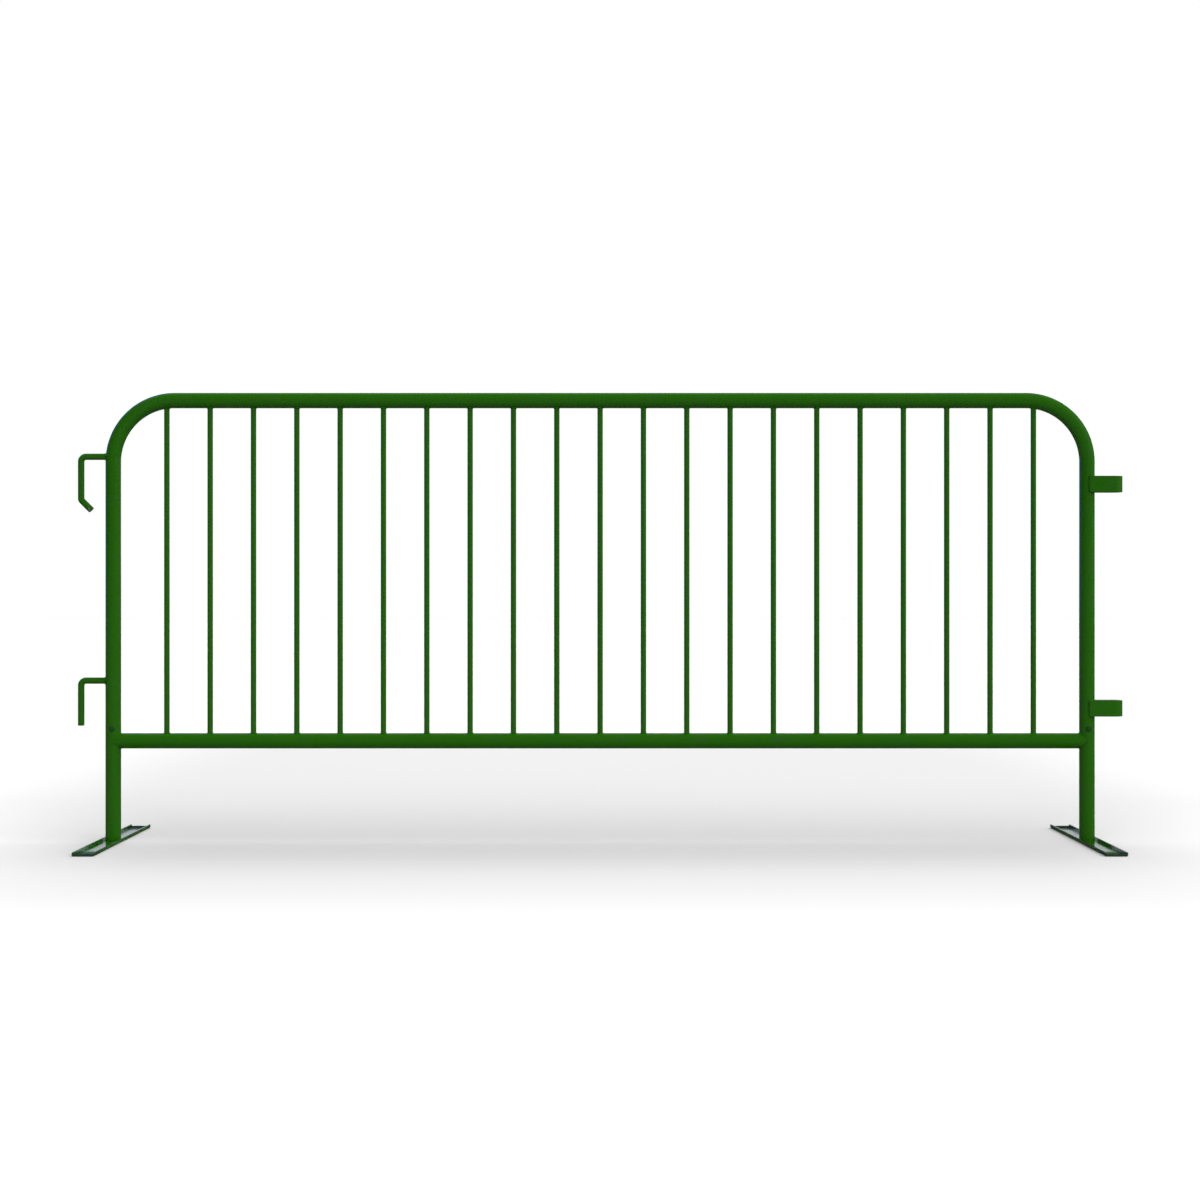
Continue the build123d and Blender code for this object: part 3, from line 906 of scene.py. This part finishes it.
# %% [markdown]
# ## Studio light
#
# The light is a product studio's. A big soft source stands in front, to the right and a
# little high, and a second one, higher up, does the same for the back. They light the matt
# part of the paint. What its gloss reflects is a different matter: a dark room with a low
# bright wall at its far end, a blue flat behind on the left, a grey one on the right and a
# faint soft box overhead. So a tube is deep green in its middle, its edges are dark, with a
# blue line down the left one, and only the flat feet, seen along their length, catch the wall.
#
# In Cycles a ray knows what it is for, and the Light Path node tells. The world below asks
# it, and answers matt, glossy and camera rays in three ways. Real flats and soft boxes as
# meshes would do too, but each would also light the matt paint and show behind the panel.

# %% Sources for the matt paint
world = bpy.data.worlds.new("studio")
bpy.context.scene.world = world
world.use_nodes = True
# Light rays aimed at the sky carry no purpose, so they are left out. Rays that bounce off
# the paint find the sky by themselves.
world.cycles.sampling_method = "NONE"
make = Maker(world.node_tree)
sky_x, sky_y, sky_z = make.split(make.node("ShaderNodeTexCoord", output="Generated"))


def soft_source(towards, start, full):
    """Share of light from a round patch of sky: the cosine of the angle to its middle is
    x X + y Y + z Z, and the patch fades in from start to full."""
    towards = np.array(towards) / np.linalg.norm(towards)
    cosine = sky_x * towards[0] + sky_y * towards[1] + sky_z * towards[2]
    return make.step(cosine, start, full)


FILL, FRONT, BACK = 0.2, 2.0, 1.9
in_front = soft_source((0.4, -0.8, 0.14), 0.25, 0.72)
behind = soft_source((0.45, 0.8, 0.55), 0.3, 0.8)
matt_light = FILL + FRONT * in_front + BACK * behind
print(f"studio: fill {FILL}, front {FRONT}, back {BACK}")

# %% Flats and wall for the gloss
DARK_ROOM = (0.012, 0.014, 0.014, 1)
BLUE_FLAT = (0.05, 0.16, 0.7, 1)
GREY_FLAT = (0.13, 0.14, 0.12, 1)
SOFT_BOX = (0.32, 0.33, 0.35, 1)
LILAC_WALL = (0.86, 0.82, 0.98, 1)
WHITE = (1, 1, 1, 1)

left_flat = (1 - make.step(sky_x, -0.4, -0.1)) * make.step(sky_y, -0.1, 0.35)
right_flat = make.step(sky_x, 0.5, 0.9)
overhead = make.step(sky_z, 0.6, 0.9) * make.step(sky_y, 0.0, 0.4)
low_band = make.step(sky_z, 0.0, 0.03) * (1 - make.step(sky_z, 0.15, 0.18))
wall = make.step(sky_y, 0.92, 0.95) * low_band
seen = DARK_ROOM
for share, colour in (
    (left_flat, BLUE_FLAT),
    (right_flat, GREY_FLAT),
    (overhead, SOFT_BOX),
    (wall, LILAC_WALL),
):
    seen = make.mix(share, seen, colour)

glossy = make.node("ShaderNodeLightPath", output="Is Glossy Ray")
camera_ray = make.node("ShaderNodeLightPath", output="Is Camera Ray")
sky = make.mix(glossy, WHITE, seen)
strength = camera_ray + (1 - camera_ray) * (glossy + (1 - glossy) * matt_light)
background = make.node("ShaderNodeBackground", None, {"Color": sky, "Strength": strength})
make.node("ShaderNodeOutputWorld", None, {"Surface": background})
print("sky:", len(world.node_tree.nodes), "nodes")

# %% [markdown]
# ## Floor
#
# The floor is plain and pale, with a soft shade under the barrier that fades out in front, at
# the sides and a few metres behind. Under so soft a sky an open panel casts hardly any shadow,
# so the shade is painted in the floor's colour: a ramp from front to back, white at the sides.
#
# Only the camera sees the floor so bright. Rays that leave the paint see a darker one: grey
# for its matt part and nearly black for its gloss. So the tubes' undersides stay deep green,
# as they would over a dark studio floor.

# %% Floor
FLOOR_REACH = 60.0
floor_mesh = bpy.data.meshes.new("floor")
floor_corners = [(x * FLOOR_REACH, y * FLOOR_REACH, 0) for x, y in ((-1, -1), (1, -1), (1, 1), (-1, 1))]
floor_mesh.from_pydata(floor_corners, [], [(0, 1, 2, 3)])
floor = bpy.data.objects.new("floor", floor_mesh)
bpy.context.scene.collection.objects.link(floor)
print(f"floor: {2 * FLOOR_REACH:.0f} m wide")

# %% Floor finish
# Distance behind the panel in metres, and the brightness of the shade there.
SHADE = [
    (-1.3, 1.0),
    (-0.99, 0.92),
    (-0.63, 0.85),
    (-0.34, 0.74),
    (-0.185, 0.715),
    (0.165, 0.735),
    (1.03, 0.82),
    (1.8, 0.85),
    (3.2, 0.865),
    (4.2, 1.0),
]
SHADE_FRONT, SHADE_BACK = SHADE[0][0], SHADE[-1][0]
FLOOR_DARKER = 0.3
BLACK = (0, 0, 0, 1)
UNDER_GLOSS = (0.06, 0.06, 0.06, 1)
UNDER_MATT = (0.25, 0.25, 0.25, 1)


def pale_floor():
    """The shaded colour for the camera, and two plain greys for the rays off the paint."""
    material, make = new_material("pale_floor")
    x, y, _ = make.split(make.node("ShaderNodeTexCoord", output="Object"))
    span = SHADE_BACK - SHADE_FRONT
    stops = [((away - SHADE_FRONT) / span, (level, level, level, 1)) for away, level in SHADE]
    shade = make.node("ShaderNodeValToRGB", {"stops": stops}, {"Fac": (y - SHADE_FRONT) * (1 / span)})
    # The shade widens with the distance behind the panel, by 0.35 m for each metre up to one.
    sides = make.step(abs(x) - y.clamped() * 0.35, 0.95, 1.75)
    shade = make.mix(sides, shade, WHITE)
    colour = make.mix(FLOOR_DARKER, shade, BLACK)
    matt = {"Base Color": colour, "Roughness": 0.9, "Specular IOR Level": 0.0}
    bright = make.node("ShaderNodeBsdfPrincipled", None, matt)
    matt_ray = make.node("ShaderNodeLightPath", output="Is Diffuse Ray")
    dim = make.node("ShaderNodeBsdfDiffuse", None, {"Color": make.mix(matt_ray, UNDER_GLOSS, UNDER_MATT)})
    camera_ray = make.node("ShaderNodeLightPath", output="Is Camera Ray")
    shader = make.node("ShaderNodeMixShader", None, {0: camera_ray, 1: dim, 2: bright})
    make.node("ShaderNodeOutputMaterial", None, {"Surface": shader})
    return material


floor_mesh.materials.append(pale_floor())
print(f"floor shade: {len(SHADE)} stops from {SHADE_FRONT} to {SHADE_BACK} m")

# %% [markdown]
# ## Soft box
#
# One real light hangs over the front of the barrier. It is weak, and only brightens the floor
# and the tops of the rails. It is hidden from gloss and from the camera, where it would show
# as a white rectangle.

# %% Soft box
box_place, box_aim = Vector((0.6, -1.2, 3.6)), Vector((0, 0, 0.4))
box_data = bpy.data.lights.new("soft_box_above", "AREA")
box_data.shape = "RECTANGLE"
box_data.size, box_data.size_y = 4.0, 1.6
box_data.energy = 8
soft_box = bpy.data.objects.new("soft_box_above", box_data)
bpy.context.scene.collection.objects.link(soft_box)
soft_box.location = box_place
soft_box.rotation_euler = (box_aim - box_place).to_track_quat("-Z", "Y").to_euler()
soft_box.visible_glossy = False
soft_box.visible_camera = False
print(f"soft box: {box_data.energy:.0f} W, {(box_aim - box_place).length:.2f} m from its aim")

# %% [markdown]
# ## Camera
#
# The camera looks level along +Y from a little above half the panel's height. It isn't
# tilted, which keeps every upright straight up and down. A lens shift, given as a share of
# the frame's width, does the last of the framing instead.

# %% Camera
DISTANCE, EYE, ASIDE = 5.26, 0.605, 0.0097
camera_data = bpy.data.cameras.new("camera")
camera_data.lens, camera_data.sensor_width = 63.3, 36
camera_data.shift_x, camera_data.shift_y = -1 / 300, -1 / 1000
camera = bpy.data.objects.new("camera", camera_data)
bpy.context.scene.collection.objects.link(camera)
camera.location = (ASIDE, -DISTANCE, EYE)
camera.rotation_euler = (math.pi / 2, 0, 0)
bpy.context.scene.camera = camera
bpy.context.scene.view_settings.view_transform = "Standard"
print(f"camera: {DISTANCE} m in front, eye {EYE} m up")
